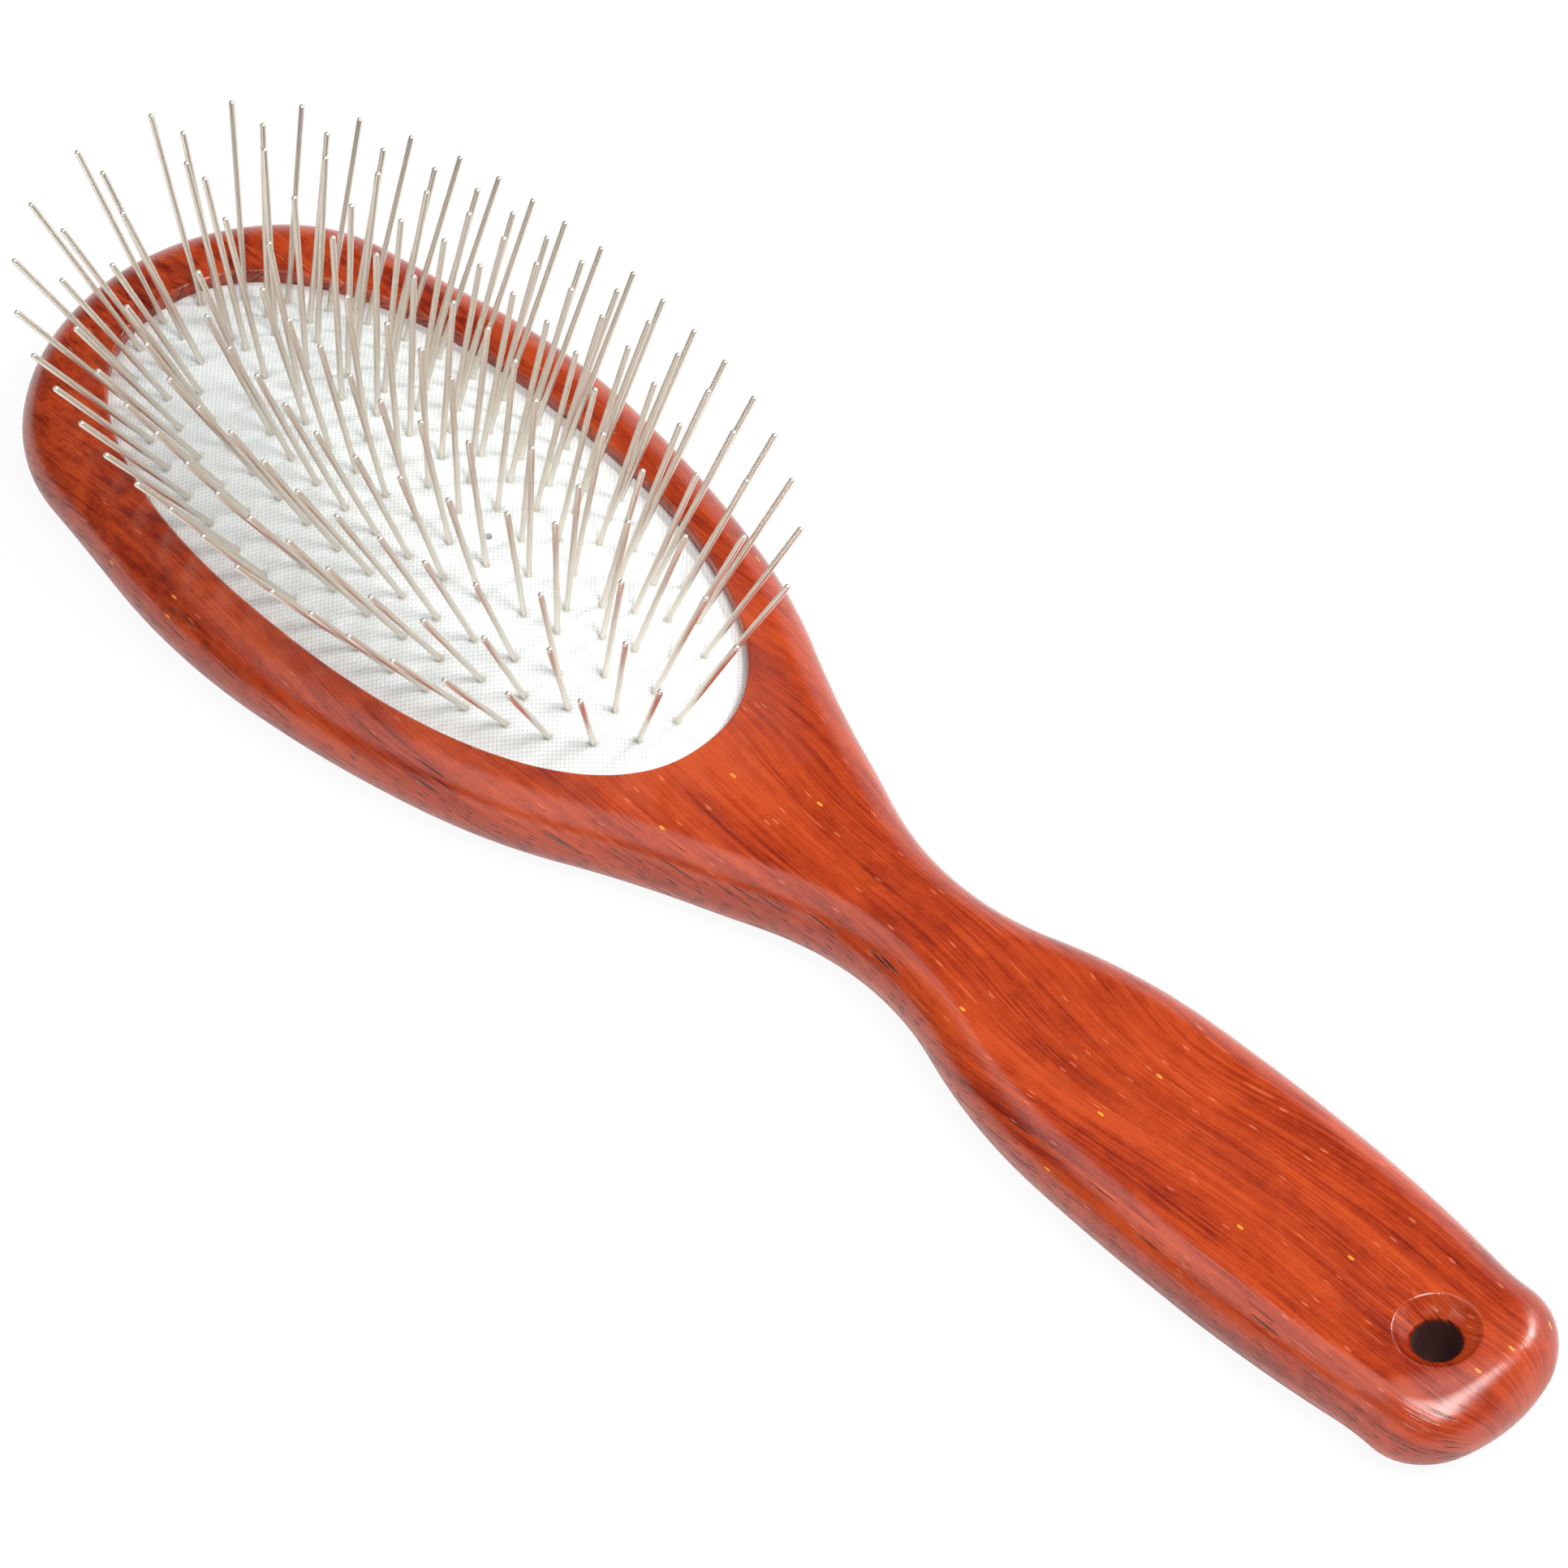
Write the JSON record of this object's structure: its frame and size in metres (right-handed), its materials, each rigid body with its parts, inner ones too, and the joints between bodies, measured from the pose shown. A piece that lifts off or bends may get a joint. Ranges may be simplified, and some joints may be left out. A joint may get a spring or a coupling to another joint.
{
  "type": "pin brush",
  "caption": "Wooden pin brush for coats: an oval head with a domed air cushion of straight metal pins, and a flat handle with a hanging hole.",
  "frame": {"origin": "on the flat back of the wooden body, under the centre of the cushion's opening", "axes": "+X from the head along the handle, +Y across the brush, +Z out of the cushion along the pins"},
  "size_m": [0.2426, 0.0658, 0.0415],
  "materials": {
    "stained_wood": "red-brown stain under gloss lacquer, fine lengthwise grain",
    "cushion_rubber": "natural rubber sheet faced with fine white woven cloth",
    "pin_steel": "plain polished wire with rounded ends"
  },
  "bodies": {
    "root": {"wooden_body": "stained_wood", "cushion": "cushion_rubber", "pins_first_ring": "pin_steel", "pins_second_ring": "pin_steel", "pins_third_ring": "pin_steel", "pins_fourth_ring": "pin_steel", "pins_outer_ring": "pin_steel", "pins_centre_row": "pin_steel", "pins_end_fill": "pin_steel"}
  },
  "joints": []
}
